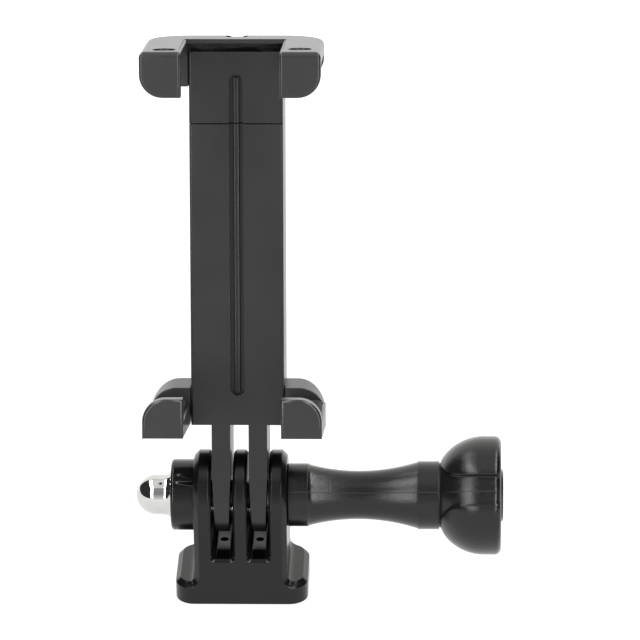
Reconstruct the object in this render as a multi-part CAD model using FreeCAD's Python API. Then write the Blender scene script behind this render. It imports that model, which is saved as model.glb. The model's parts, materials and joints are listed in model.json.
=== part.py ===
"""Spring phone clip on a folding-prong hinge and a tripod foot.

Millimetres, +Z up, the clip's open side towards -Y, the thumb screw's knob towards +X.
The origin is the centre of the tripod thread's mouth, on the face that the foot stands on.
The clip is modelled upright about the screw axis and then leaned back by lean_deg.
"""
import FreeCAD
import Part
import math
import os

V = FreeCAD.Vector

# Hinge and tripod foot
lean_deg = 17.0          # how far the clip leans back of upright
hinge_height = 17.1      # screw axis above the foot's face
knuckle_r = 7.45         # half the depth of the foot and its three prongs
knuckle_top = 7.7        # screw axis to the prongs' rounded tops
outer_prong = 3.0        # thickness of each outer prong
slot_gap = 3.65          # width of each slot
centre_prong = 2.4       # thickness of the middle prong
slot_floor = 8.5         # height of the slots' floor
slot_corner = 0.7        # round in the slots' lower corners
slot_lip = 0.5           # lip in front of the sunk part of a slot's floor
slot_sink = 1.2          # depth of the sunk part
slot_sink_end = 3.9      # how far back from the front face the sunk part reaches
core_hole_r = 0.64       # small moulding hole in each slot's floor
core_hole_depth = 0.9
slot_web = 1.0           # low wall that closes the back of each slot
slot_web_rise = 2.0
prong_bevel = 0.85       # bevel along the outer rim of the foot and the outer prongs
prong_ease = 0.45        # eased edges of the slots
foot_width = 22.4
foot_corner = 3.2        # upright corners of the foot
foot_top = 3.85          # top of the foot's wings
root_round = 1.3         # hollow round where the body meets the foot
boss_r = 6.0             # round boss that holds the cap nut
boss_length = 3.9
boss_ease = 0.55
boss_ring_r = 6.35       # low ring at the boss's root
boss_ring_rise = 0.12

# Thread insert in the foot, 1/4 inch by 20 turns an inch
insert_r = 4.7
insert_flange_r = 5.3
insert_flange = 0.9
insert_length = 6.2
insert_sink = 0.15       # how far the insert sits above the foot's face
insert_bore_r = 2.65     # crest radius of the 1/4-20 thread
knurl_teeth = 16
knurl_depth = 0.35

# Clamping screw
bolt_r = 2.48            # M5 shank
hinge_clearance = 0.08   # between the shank and every bore it turns in
nut_flats = 8.0
nut_clearance = 0.06     # each side of the hexes in their pockets
nut_hex = 3.55           # length of the cap nut's hexagon
nut_neck = 2.45          # plain step between hexagon and dome
dome_r = 3.4
neck_flare = 0.4         # how much wider the neck is at the hexagon
nut_wall = 3.3           # dome left solid beyond the thread
pocket_floor = 0.5       # plastic left between the nut and the outer prong's face
nut_bevel_fall = 1.6     # fall of the hexagon's bevel against its length
bolt_in_nut = 5.7
bolt_point = 0.5         # chamfer at the bolt's tip
head_flats = 8.0
head_length = 3.4
head_cover = 0.45        # plastic disc over the bolt's head
head_cover_r = 4.5
cover_proud = 0.38

# Knob, turned profile along the screw
collar_r = 5.33
collar_length = 3.5
waist_r = 4.08
waist_length = 18.5
barrel_r = 5.75
barrel_length = 3.6
waist_step = 0.12        # small ridge where the waist meets the barrel
neck_groove = 0.2
neck_depth = 0.3
grip_root_r = 5.82       # where the bowl leaves the neck
grip_r = 10.0            # over the lobes
grip_length = 10.4
grip_belly = 7.35        # length of the lobes' curved part
grip_round = 1.1
core_root_r = 5.5        # the bowl between the lobes
core_r = 8.5
core_belly = 6.0
lobe_gap_half = 2.5      # half the gap between two lobes
lobe_flare = 2.6         # how much the gap widens at the neck
lobe_flare_length = 3.6
flare_mid = (0.3, 0.35)  # where the flare's arc passes, as shares of its length and width
lobe_turn_deg = 34.0     # the first gap, from -Y towards +Z
lobes = 3

# Clip column, sizes about the screw axis before the lean
column_half = 7.8        # half the column's width
column_shift = -0.25     # the column's middle from the middle of its two prongs
column_front = 6.2       # screw axis to the column's front and back faces
column_bottom = 13.1
seam_height = 63.9       # joint between the lower column and the sliding top
cover_height = 12.55     # front panel of the sliding top
seam_gap = 0.15
face_thick = 2.2         # front wall
side_thick = 1.58
back_thick = 1.6
fit_gap = 0.05           # between parts that are screwed together
edge_ease = 0.4
block_height = 5.85      # solid foot of the front housing above column_bottom

# Prongs of the clip
prong_thick = 3.12
prong_at = 3.1           # middle of each prong
prong_tip_thick = 2.25
prong_taper_from = 4.5
tip_r = 6.2

# Groove down the column's face with its double bead
groove_half = 1.15
groove_low = 18.1
groove_end_gap = 4.35    # plain panel above the groove
groove_depth = 1.2
bead_half = 0.52
bead_height = 0.62
bead_line = 0.16
bead_ease = 0.24
bead_root = 0.2          # how deep the bead goes into the panel

# Jaws
jaw_half = 14.72
jaw_inner = 8.0          # half the cut-out between the arms
jaw_reach = 26.2         # screw axis to the ears' front face
jaw_back = 0.5           # how far the jaw's rear wall reaches behind the axis
wall_setback = 0.7       # rear wall's face behind the column's face
ear_thick = 2.4
plate_thick = 2.2
arm_taper = 1.6          # how much deeper the lower arms are at the column
ear_corner = 3.8
low_wall_corner = 4.5
top_wall_corner = 5.5
jaw_ease = 1.0           # rim of the upper jaw
ear_ease = 0.5           # front edges of the ears
cover_ease = 0.35
wing_gap = 0.12          # gap between the wings and the front panels
wing_wall = 1.5
plate_rear_corner = 7.0
low_rear_corner = 5.4
low_jaw_bottom = 14.5
low_ear_height = 6.55
low_wall_height = 4.8
low_wall_rise = 0.65     # how much higher the lower wall is at the back
jaw_cap = 1.55           # top of the jaw above the front panel
top_ear_height = 7.5
top_wall_height = 8.0
strip_lip = 0.8          # thin front edge of the strip over the column's top
dimple_r = 1.9
dimple_depth = 0.25
dimple_places = ((-10.8, 22.3), (11.2, 21.4), (0, 1.6))   # sideways, forward of the axis
notch_half = 1.35
notch_at = 5.03
notch_depth = 0.5

# Slider, springs and rods inside the column
slide_gap = 0.25
rail_inner = 2.2
rail_thick = 1.4
rail_root = 2.0          # how far the rails run up into the sliding top
slider_foot = 2.4        # thickness of the plate that pushes the springs
slider_foot_low = 21.2
stop_drop = 3.9          # the springs' stop below the joint of the column
stop_thick = 2.0
spring_closed = 8.4      # room that the pressed springs keep
rod_r = 0.8
rod_at = 3.9
rod_depth = 1.2          # the rods' distance behind the screw axis
rod_seat = 1.5
rod_clearance = 0.08
spring_mean_r = 1.5
spring_wire_r = 0.3
spring_turns = 11
spring_seat_gap = 0.3
post_r = 1.7
post_drop = 6.9          # the screw post below the joint of the column
body_wall = 1.6

# Screws that join the housings
screw_r = 0.9
screw_head_r = 1.7
screw_head = 1.0
screw_head_round = 0.45
screw_length = 6.0
screw_gap = 0.02
low_screw_height = 16.2
low_screw_at = 3.9
cross_half = 0.22
cross_arm = 0.95
cross_depth = 0.5

# Rubber pads on the jaws' inner faces
pad_thick = 1.0
pad_margin = 0.55
pad_corner = 1.2

column_rear = column_front
side_inner = column_half - side_thick
face_back = -column_front + face_thick
back_inner = column_rear - back_thick
base_half = centre_prong / 2 + slot_gap + outer_prong
slot_centre = centre_prong / 2 + slot_gap / 2
bore_r = bolt_r + hinge_clearance
body_split = slot_floor + slot_corner
block_top = column_bottom + block_height
column_top = seam_height + cover_height
top_jaw_top = column_top + jaw_cap
groove_high = column_top - groove_end_gap
stop_low = seam_height - stop_drop
post_height = seam_height - post_drop
travel = stop_low - slider_foot_low - slider_foot - spring_closed


def box(x0, x1, y0, y1, z0, z1):
    return Part.makeBox(x1 - x0, y1 - y0, z1 - z0, V(x0, y0, z0))


def rod(r, length, at, along):
    return Part.makeCylinder(r, length, at, along)


def face_of(edges):
    return Part.Face(Part.Wire(edges))


def hex_bar(flats, length, at, along):
    corner_r = flats / math.sqrt(3)
    ring = [V(corner_r * math.cos(math.radians(60 * i)), corner_r * math.sin(math.radians(60 * i)), 0)
            for i in range(7)]
    bar = Part.Face(Part.makePolygon(ring)).extrude(V(0, 0, length))
    bar.Placement = FreeCAD.Placement(at, FreeCAD.Rotation(V(0, 0, 1), along))
    return bar


def along_edges(shape, test):
    """Edges whose two ends and middle all pass the test."""
    picked = []
    for edge in shape.Edges:
        middle = edge.valueAt((edge.FirstParameter + edge.LastParameter) / 2)
        if all(test(p) for p in [v.Point for v in edge.Vertexes] + [middle]):
            picked.append(edge)
    return picked


def near(a, b):
    return b is not None and abs(a - b) < 1e-4


def arch_plate(x0, x1, half, low, top_r, centre_z):
    """Upright plate across X whose top is a half round about the hinge axis."""
    a = V(x0, -half, low)
    b = V(x0, half, low)
    c = V(x0, half, centre_z)
    d = V(x0, 0, centre_z + top_r)
    e = V(x0, -half, centre_z)
    edges = [Part.LineSegment(a, b).toShape(), Part.LineSegment(b, c).toShape(),
             Part.Arc(c, d, e).toShape(), Part.LineSegment(e, a).toShape()]
    return face_of(edges).extrude(V(x1 - x0, 0, 0))


def base_prong(x0, x1, bevelled):
    """One prong of the foot, bevelled round the side at x = bevelled."""
    plate = arch_plate(x0, x1, knuckle_r, slot_floor, knuckle_top, hinge_height)
    rim = along_edges(plate, lambda p: near(p.x, bevelled) and p.z > slot_floor - 1e-4
                      and not (near(p.z, slot_floor) and abs(p.y) < knuckle_r - 1e-4))
    return plate.makeChamfer(prong_bevel, rim) if rim else plate


def slot_edges(body):
    """Edges of the two slots on the body's front, back and tops."""
    walls = [side * x for side in (-1, 1) for x in (centre_prong / 2, centre_prong / 2 + slot_gap)]
    picked = []
    for edge in body.Edges:
        middle = edge.valueAt((edge.FirstParameter + edge.LastParameter) / 2)
        points = [v.Point for v in edge.Vertexes] + [middle]
        on_face = all(near(abs(p.y), knuckle_r) for p in points)
        on_wall = any(all(near(p.x, x) for p in points) for x in walls)
        over_top = on_wall and middle.z > hinge_height + knuckle_top - 1e-3
        reach = max(abs(p.x) for p in points) < base_half - outer_prong + 1e-3
        if over_top or (on_face and reach and middle.z > slot_floor - 1e-3):
            picked.append(edge)
    return picked


def rounded_outline(half_x, half_y, r, z):
    """Closed wire of a rectangle with round corners, at height z."""
    edges = []
    for quarter in range(4):
        sx = 1 if quarter in (0, 3) else -1
        sy = 1 if quarter in (0, 1) else -1
        mid = V(sx * (half_x - r), sy * (half_y - r), z)
        start = math.radians(90 * quarter)
        points = [mid + V(r * math.cos(start + t), r * math.sin(start + t), 0)
                  for t in (0, math.pi / 4, math.pi / 2)]
        edges.append(Part.Arc(*points).toShape())
    lines = []
    for i in range(4):
        lines.append(Part.LineSegment(edges[i].lastVertex().Point,
                                      edges[(i + 1) % 4].firstVertex().Point).toShape())
    ring = [piece for pair in zip(edges, lines) for piece in pair]
    return Part.Wire(ring)


def make_foot():
    """Foot and lower body as one front profile with hollow rounds, bevelled all along its rim."""
    y = -knuckle_r
    half = foot_width / 2
    low = foot_top
    r = root_round
    k = r * (1 - math.sqrt(0.5))
    side = [V(half, y, 0), V(half, y, low), V(base_half + r, y, low),
            V(base_half + k, y, low + k), V(base_half, y, low + r), V(base_half, y, body_split)]
    other = [V(-p.x, p.y, p.z) for p in side]
    edges = [Part.LineSegment(other[0], side[0]).toShape(),
             Part.LineSegment(side[-1], other[-1]).toShape()]
    for points in (side, other):
        edges.append(Part.LineSegment(points[0], points[1]).toShape())
        edges.append(Part.LineSegment(points[1], points[2]).toShape())
        edges.append(Part.Arc(*points[2:5]).toShape())
        edges.append(Part.LineSegment(points[4], points[5]).toShape())
    foot = Part.Face(Part.Wire(Part.sortEdges(edges)[0])).extrude(V(0, 2 * knuckle_r, 0))
    upright = along_edges(foot, lambda p: near(abs(p.x), half) and near(abs(p.y), knuckle_r))
    foot = foot.makeFillet(foot_corner, upright)
    rim = []
    for edge in along_edges(foot, lambda p: p.z > low - 1e-4):
        first, last = edge.Vertexes[0].Point, edge.Vertexes[-1].Point
        across = near(first.x, last.x) and near(first.z, last.z) and not near(abs(first.x), half)
        if not across and not (near(first.z, body_split) and near(last.z, body_split)):
            rim.append(edge)
    return foot.makeChamfer(prong_bevel, rim)


def slot_cut(side):
    """Round-cornered foot of one slot, with the sunk front part and the core hole."""
    x0 = side * slot_centre - slot_gap / 2
    trough = box(x0, x0 + slot_gap, -knuckle_r - 1, knuckle_r + 1,
                 slot_floor, slot_floor + slot_gap)
    lower = along_edges(trough, lambda p: near(p.z, slot_floor) and abs(p.x - side * slot_centre)
                        > slot_gap / 2 - 1e-4)
    trough = trough.makeFillet(slot_corner, lower)
    sink = box(x0 + slot_corner, x0 + slot_gap - slot_corner, -knuckle_r + slot_lip,
               -knuckle_r + slot_sink_end, slot_floor - slot_sink, slot_floor + slot_sink)
    hole = rod(core_hole_r, core_hole_depth * 2, V(side * slot_centre, 0,
                                                 slot_floor - core_hole_depth), V(0, 0, 1))
    return trough.fuse([sink, hole])


def make_base_body():
    half = centre_prong / 2
    prongs = [base_prong(-half, half, None),
              base_prong(-base_half, -base_half + outer_prong, -base_half),
              base_prong(base_half - outer_prong, base_half, base_half)]
    body = make_foot().cut([slot_cut(-1), slot_cut(1)]).fuse(prongs).removeSplitter()
    body = body.makeChamfer(prong_ease, slot_edges(body))
    webs = [box(side * slot_centre - slot_gap / 2 - prong_ease,
                side * slot_centre + slot_gap / 2 + prong_ease,
                knuckle_r - prong_ease - slot_web, knuckle_r - prong_ease,
                slot_floor - slot_sink, slot_floor + slot_web_rise) for side in (-1, 1)]
    boss = rod(boss_r, boss_length, V(-base_half, 0, hinge_height), V(-1, 0, 0))
    rim = along_edges(boss, lambda p: near(p.x, -base_half - boss_length))
    boss = boss.makeFillet(boss_ease, rim)
    ring = rod(boss_ring_r, outer_prong / 2 + boss_ring_rise,
               V(-base_half + outer_prong / 2, 0, hinge_height), V(-1, 0, 0))
    body = body.fuse(webs + [boss, ring])
    bore = rod(bore_r, 2 * base_half + 2, V(-base_half - 1, 0, hinge_height), V(1, 0, 0))
    pocket = hex_bar(nut_flats + 2 * nut_clearance, boss_length + 1,
                     V(-base_half - pocket_floor, 0, hinge_height), V(-1, 0, 0))
    seat = rod(insert_r, insert_length - insert_flange + insert_sink + 0.01,
               V(0, 0, insert_flange), V(0, 0, 1))
    flange_seat = rod(insert_flange_r, insert_sink + insert_flange, V(0, 0, 0), V(0, 0, 1))
    return body.cut([bore, pocket, seat, flange_seat]).removeSplitter()


def make_tripod_insert():
    barrel = rod(insert_r, insert_length - insert_flange,
                 V(0, 0, insert_sink + insert_flange), V(0, 0, 1))
    for i in range(knurl_teeth):
        turn = 360.0 / knurl_teeth * i
        notch = box(insert_r - knurl_depth, insert_r + 1, -knurl_depth, knurl_depth,
                    insert_sink + insert_flange + knurl_depth,
                    insert_sink + insert_length - knurl_depth)
        notch.rotate(V(0, 0, 0), V(0, 0, 1), turn)
        barrel = barrel.cut(notch)
    flange = rod(insert_flange_r, insert_flange, V(0, 0, insert_sink), V(0, 0, 1))
    bore = rod(insert_bore_r, insert_length + 1, V(0, 0, insert_sink - 0.5), V(0, 0, 1))
    return barrel.fuse(flange).cut(bore).removeSplitter()


def turned(points_and_arcs, at_z):
    """Solid of revolution about the screw axis; the profile is given as (x, radius)."""
    edges = []
    for piece in points_and_arcs:
        ends = [V(x, 0, at_z + r) for x, r in piece]
        if len(ends) == 2:
            edges.append(Part.LineSegment(*ends).toShape())
        else:
            edges.append(Part.Arc(*ends).toShape())
    return face_of(edges).revolve(V(0, 0, at_z), V(1, 0, 0), 360)


def make_cap_nut():
    start = -base_half - pocket_floor
    hexagon = hex_bar(nut_flats, nut_hex, V(start, 0, hinge_height), V(-1, 0, 0))
    corner_r = nut_flats / math.sqrt(3)
    ease = corner_r - nut_flats / 2
    blank = turned([[(start, 0), (start, corner_r)],
                    [(start, corner_r), (start - nut_hex + ease, corner_r)],
                    [(start - nut_hex + ease, corner_r), (start - nut_hex, corner_r - ease * nut_bevel_fall)],
                    [(start - nut_hex, corner_r - ease * nut_bevel_fall), (start - nut_hex, 0)],
                    [(start - nut_hex, 0), (start, 0)]], hinge_height)
    hexagon = hexagon.common(blank)
    shoulder = start - nut_hex - nut_neck
    tip = shoulder - dome_r
    slant = dome_r * math.sqrt(0.5)
    dome = turned([[(start, 0), (start, dome_r + neck_flare)],
                   [(start, dome_r + neck_flare), (start - nut_hex, dome_r + neck_flare)],
                   [(start - nut_hex, dome_r + neck_flare), (shoulder, dome_r)],
                   [(shoulder, dome_r), (shoulder - slant, slant), (tip, 0)],
                   [(tip, 0), (start, 0)]], hinge_height)
    thread = rod(bolt_r + fit_gap, start - tip - nut_wall, V(start, 0, hinge_height), V(-1, 0, 0))
    return hexagon.fuse(dome).cut(thread).removeSplitter()


def screw_stations():
    """Where each stretch of the knob begins, along X."""
    collar_end = base_half + collar_length
    waist_end = collar_end + waist_length
    barrel_end = waist_end + barrel_length
    return collar_end, waist_end, barrel_end, barrel_end + grip_length


def make_clamp_bolt():
    end = screw_stations()[3]
    head_top = end + cover_proud - head_cover
    head_low = head_top - head_length
    tip = -base_half - pocket_floor - bolt_in_nut
    shank = rod(bolt_r, head_low - tip, V(tip, 0, hinge_height), V(1, 0, 0))
    rim = along_edges(shank, lambda p: near(p.x, tip))
    shank = shank.makeChamfer(bolt_point, rim)
    head = hex_bar(head_flats, head_length, V(head_low, 0, hinge_height), V(1, 0, 0))
    return shank.fuse(head)


def bowl(root_r, full_r, belly, start, end):
    """Grip profile: an arc from the neck that ends level, then a straight rim with a round end."""
    rise = full_r - root_r
    arc_r = (belly ** 2 + rise ** 2) / (2 * rise)
    half_way = belly / 2
    middle_r = full_r - arc_r + math.sqrt(arc_r ** 2 - (belly - half_way) ** 2)
    foot = V(start, 0, hinge_height)
    arc = [V(start, 0, hinge_height + root_r), V(start + half_way, 0, hinge_height + middle_r),
           V(start + belly, 0, hinge_height + full_r)]
    corner = grip_round * (1 - math.sqrt(0.5))
    rim = [V(end - grip_round, 0, hinge_height + full_r),
           V(end - corner, 0, hinge_height + full_r - corner),
           V(end, 0, hinge_height + full_r - grip_round)]
    edges = [Part.LineSegment(foot, arc[0]).toShape(), Part.Arc(*arc).toShape(),
             Part.LineSegment(arc[2], rim[0]).toShape(), Part.Arc(*rim).toShape(),
             Part.LineSegment(rim[2], V(end, 0, hinge_height)).toShape(),
             Part.LineSegment(V(end, 0, hinge_height), foot).toShape()]
    return face_of(edges).revolve(V(0, 0, hinge_height), V(1, 0, 0), 360)


def lobe_gap(start, end):
    """Cutter between two lobes, wider towards the neck, standing along +Z."""
    low = start - 1
    high = end + 1
    mouth = lobe_gap_half + lobe_flare
    side = [V(high, lobe_gap_half, 0), V(start + lobe_flare_length, lobe_gap_half, 0),
            V(start + lobe_flare_length * flare_mid[0], lobe_gap_half + lobe_flare * flare_mid[1], 0),
            V(start, mouth, 0), V(low, mouth, 0)]
    other = [V(p.x, -p.y, 0) for p in side]
    edges = [Part.LineSegment(other[0], side[0]).toShape(),
             Part.LineSegment(side[-1], other[-1]).toShape()]
    for points in (side, other):
        edges.append(Part.LineSegment(points[0], points[1]).toShape())
        edges.append(Part.Arc(*points[1:4]).toShape())
        edges.append(Part.LineSegment(points[3], points[4]).toShape())
    cutter = Part.Face(Part.Wire(Part.sortEdges(edges)[0])).extrude(V(0, 0, grip_r))
    cutter.translate(V(0, 0, bolt_r))
    return cutter


def make_thumb_knob():
    start = base_half
    collar_end, waist_end, barrel_end, end = screw_stations()
    waist_mid = (collar_end + waist_end) / 2
    groove_end = barrel_end + neck_groove
    neck_r = barrel_r - neck_depth
    ridge_r = barrel_r - waist_step
    neck = turned([
        [(start, 0), (start, collar_r)],
        [(start, collar_r), (collar_end, collar_r)],
        [(collar_end, collar_r), (waist_mid, waist_r), (waist_end, ridge_r)],
        [(waist_end, ridge_r), (waist_end, barrel_r)],
        [(waist_end, barrel_r), (barrel_end, barrel_r)],
        [(barrel_end, barrel_r), (barrel_end, neck_r)],
        [(barrel_end, neck_r), (groove_end + 1, neck_r)],
        [(groove_end + 1, neck_r), (groove_end + 1, 0)],
        [(groove_end + 1, 0), (start, 0)]], hinge_height)
    crown = bowl(grip_root_r, grip_r, grip_belly, groove_end, end)
    core = bowl(core_root_r, core_r, core_belly, groove_end, end)
    axis_point = V(0, 0, hinge_height)
    for i in range(lobes):
        gap = lobe_gap(groove_end, end)
        gap.rotate(V(0, 0, 0), V(1, 0, 0), 90 - lobe_turn_deg)
        gap.translate(axis_point)
        gap = gap.cut(core)
        gap.rotate(axis_point, V(1, 0, 0), 360.0 / lobes * i)
        crown = crown.cut(gap)
    knob = neck.fuse(crown)
    head_top = end + cover_proud - head_cover
    head_low = head_top - head_length
    bore = rod(bolt_r + fit_gap, end - start + 2, V(start - 1, 0, hinge_height), V(1, 0, 0))
    pocket = hex_bar(head_flats + 2 * fit_gap, head_length + head_cover + cover_proud,
                     V(head_low, 0, hinge_height), V(1, 0, 0))
    cover_seat = rod(head_cover_r + fit_gap, head_cover + 1,
                     V(head_top, 0, hinge_height), V(1, 0, 0))
    return knob.cut([bore, pocket, cover_seat]).removeSplitter()


def make_knob_cover():
    end = screw_stations()[3]
    disc = rod(head_cover_r, head_cover, V(end + cover_proud - head_cover, 0, hinge_height),
               V(1, 0, 0))
    rim = along_edges(disc, lambda p: near(p.x, end + cover_proud))
    return disc.makeChamfer(cover_proud, rim)


def panel(low, high):
    """Front panel of the column between two heights, its upright front edges eased."""
    plate = box(-column_half, column_half, -column_front, face_back, low, high)
    upright = along_edges(plate, lambda p: near(abs(p.x), column_half) and near(p.y, -column_front))
    return plate.makeFillet(edge_ease, upright)


def groove_cut(low, high):
    """Groove with round ends; an end outside the panel leaves that end open."""
    middle = box(-groove_half, groove_half, -column_front - 1, -column_front + groove_depth,
                 low + groove_half, high - groove_half)
    ends = [rod(groove_half, groove_depth + 1, V(0, -column_front - 1, z), V(0, 1, 0))
            for z in (low + groove_half, high - groove_half)]
    return middle.fuse(ends)


def bead(low, high):
    """Double bead that stands in the groove."""
    floor = -column_front + groove_depth
    bar = box(-bead_half, bead_half, floor - bead_height, floor + bead_root, low, high)
    front = along_edges(bar, lambda p: near(p.y, floor - bead_height) and near(abs(p.x), bead_half))
    bar = bar.makeFillet(bead_ease, front)
    line = box(-bead_line / 2, bead_line / 2, floor - bead_height - 1,
               floor - bead_height + bead_line, low - 1, high + 1)
    return bar.cut(line)


def clip_prong(side):
    """Prong of the clip, thinner towards its round tip, with its bore."""
    x = side * prong_at - column_shift
    half = prong_thick / 2
    tip_half = prong_tip_thick / 2
    slab = arch_plate(x - half, x + half, column_front, -column_bottom, tip_r, 0)
    slab.rotate(V(0, 0, 0), V(1, 0, 0), 180)
    y = -column_front
    outline = [V(x - half, y, column_bottom), V(x + half, y, column_bottom),
               V(x + half, y, prong_taper_from), V(x + tip_half, y, -tip_r),
               V(x - tip_half, y, -tip_r), V(x - half, y, prong_taper_from),
               V(x - half, y, column_bottom)]
    wedge = Part.Face(Part.makePolygon(outline)).extrude(V(0, 2 * column_front, 0))
    bore = rod(bore_r, prong_thick + 2, V(x - half - 1, 0, 0), V(1, 0, 0))
    return slab.common(wedge).cut(bore)


def make_front_housing():
    top = seam_height - seam_gap / 2
    face = panel(column_bottom, top)
    face = face.cut(groove_cut(groove_low, groove_high))
    beads = bead(groove_low + bead_half, top)
    block = box(-side_inner + fit_gap, side_inner - fit_gap, face_back, back_inner - fit_gap,
                column_bottom, block_top)
    post = rod(post_r, back_inner - fit_gap - face_back, V(0, face_back, post_height), V(0, 1, 0))
    body = face.fuse([beads, block, post, clip_prong(-1), clip_prong(1)])
    pilots = [rod(screw_r + screw_gap, screw_length, V(x, back_inner, z), V(0, -1, 0))
              for x, z in screw_places()]
    rod_seats = [rod(rod_r + screw_gap, rod_seat + 0.5, V(x, rod_depth, block_top - rod_seat),
                     V(0, 0, 1)) for x in (-rod_at, rod_at)]
    return body.cut(pilots + rod_seats).removeSplitter()


def screw_places():
    return [(0, post_height), (-low_screw_at, low_screw_height), (low_screw_at, low_screw_height)]


def wing_hollow(side, corner, low, high):
    """Space inside a wing of the rear wall, one wall in from its rounded corner."""
    x1 = jaw_half - wing_wall
    y1 = jaw_back - wing_wall
    r = corner - wing_wall
    space = box(column_half + wing_wall, x1, -column_front + wall_setback + wing_wall, y1, low, high)
    spill = box(x1 - r, x1, y1 - r, y1, low, high)
    space = space.cut(spill.cut(rod(r, high - low, V(x1 - r, y1 - r, low), V(0, 0, 1))))
    return space if side > 0 else space.mirror(V(0, 0, 0), V(1, 0, 0))


def free_corner(x0, height, corner):
    """Upright face across Y from x = x0 to the jaw's side, its outer free corner rounded."""
    a = V(x0, 0, 0)
    b = V(jaw_half, 0, 0)
    c = V(jaw_half, 0, height - corner)
    mid = V(jaw_half - corner, 0, height - corner)
    d = mid + V(corner * math.sqrt(0.5), 0, corner * math.sqrt(0.5))
    e = V(jaw_half - corner, 0, height)
    f = V(x0, 0, height)
    edges = [Part.LineSegment(a, b).toShape(), Part.LineSegment(b, c).toShape(),
             Part.Arc(c, d, e).toShape(), Part.LineSegment(e, f).toShape(),
             Part.LineSegment(f, a).toShape()]
    return face_of(edges)


def jaw_wing(height, corner, rise):
    """One side of a jaw's rear wall; its free edge rises towards the back."""
    wall_face = -column_front + wall_setback
    room = jaw_half - column_half - wing_gap
    face = free_corner(column_half, height, min(corner, room))
    face.translate(V(0, wall_face, 0))
    depth = jaw_back - wall_face
    wing = face.extrude(V(0, depth, 0))
    if rise:
        wing = wing.fuse(face.extrude(V(0, depth, rise))).removeSplitter()
    gap = box(column_half - 1, column_half + wing_gap, wall_face - 1, face_back + fit_gap,
              -1, height + rise + 1)
    return wing.cut(gap)


def ease_front(jaw, low, high):
    """Eases the upright and crowning edges of the ears' front faces between two heights."""
    front = along_edges(jaw, lambda p: near(p.y, -jaw_reach) and low - 1e-4 < p.z < high + 1e-4)
    level = [e for e in front if e.Length > ear_ease and e.BoundBox.ZMax - low > 1e-3
             and high - e.BoundBox.ZMin > 1e-3]
    return jaw.makeFillet(ear_ease, level)


def jaw_side(side, ear_height, wing):
    """One side of a jaw, built from its outer face at height 0 towards the phone.

    It is an ear, an arm plate and a wing of the rear wall, on the +X side or mirrored.
    """
    ear = free_corner(jaw_inner, ear_height, ear_corner).extrude(V(0, ear_thick, 0))
    ear.translate(V(0, -jaw_reach, 0))
    arm = box(jaw_inner, jaw_half, -jaw_reach, -column_front + wall_setback + 1, 0, plate_thick)
    half = ear.fuse([arm, wing]).removeSplitter()
    if side < 0:
        half = half.mirror(V(0, 0, 0), V(1, 0, 0))
    return half


def arm_wedge(side):
    """Deepens a lower arm towards the column."""
    x0, x1 = sorted((side * jaw_inner, side * jaw_half))
    slope = [V(x0, -jaw_reach + ear_ease, 0), V(x0, jaw_back, 0), V(x0, jaw_back, -arm_taper),
             V(x0, -column_front + wall_setback, -arm_taper), V(x0, -jaw_reach + ear_ease, 0)]
    return Part.Face(Part.makePolygon(slope)).extrude(V(x1 - x0, 0, 0))


def make_rear_housing():
    top = seam_height - seam_gap / 2
    shell = box(-column_half, column_half, face_back + fit_gap, column_rear, column_bottom, top)
    upright = along_edges(shell, lambda p: near(abs(p.x), column_half) and near(p.y, column_rear))
    shell = shell.makeFillet(edge_ease * 2, upright)
    cavity = box(-side_inner, side_inner, face_back - 1, back_inner, column_bottom - 1, top + 1)
    shell = shell.cut(cavity)
    stop = box(-side_inner, side_inner, face_back + rail_thick + 2 * slide_gap + fit_gap,
               back_inner, stop_low, stop_low + stop_thick)
    wing = jaw_wing(low_wall_height, low_wall_corner, low_wall_rise)
    halves = []
    holes = corner_trim(low_rear_corner, low_jaw_bottom - arm_taper - 1,
                        low_jaw_bottom + low_wall_height + low_wall_rise + 1)
    for side in (-1, 1):
        half = jaw_side(side, low_ear_height, wing)
        front = along_edges(half, lambda p: near(p.y, -jaw_reach))
        half = half.makeFillet(ear_ease, front).fuse(arm_wedge(side))
        half.translate(V(0, 0, low_jaw_bottom))
        halves.append(half)
        holes.append(wing_hollow(side, low_rear_corner, low_jaw_bottom - arm_taper - 1,
                                 low_jaw_bottom + low_wall_height - wing_wall))
    shell = shell.fuse([stop] + halves)
    for x, z in screw_places():
        holes.append(rod(screw_r + screw_gap, back_thick + 1, V(x, column_rear, z), V(0, -1, 0)))
        holes.append(rod(screw_head_r + screw_gap, screw_head, V(x, column_rear, z), V(0, -1, 0)))
    for x in (-rod_at, rod_at):
        holes.append(rod(rod_r + screw_gap, stop_thick + 2, V(x, rod_depth, stop_low - 1),
                         V(0, 0, 1)))
    return shell.cut(holes).removeSplitter()


def make_housing_screws():
    screws = []
    for x, z in screw_places():
        start = V(x, column_rear - screw_head, z)
        shank = rod(screw_r, screw_length - screw_head, start, V(0, -1, 0))
        head = rod(screw_head_r, screw_head, start, V(0, 1, 0))
        rim = along_edges(head, lambda p: near(p.y, column_rear))
        head = head.makeFillet(screw_head_round, rim)
        cross = [box(x - a, x + a, column_rear - cross_depth, column_rear + 1, z - b, z + b)
                 for a, b in ((cross_half, cross_arm), (cross_arm, cross_half))]
        screws.append(shank.fuse(head).cut(cross))
    return Part.makeCompound(screws)


def make_guide_rod(side):
    low = block_top - rod_seat
    return rod(rod_r, stop_low + stop_thick - low, V(side * rod_at, rod_depth, low), V(0, 0, 1))


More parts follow.
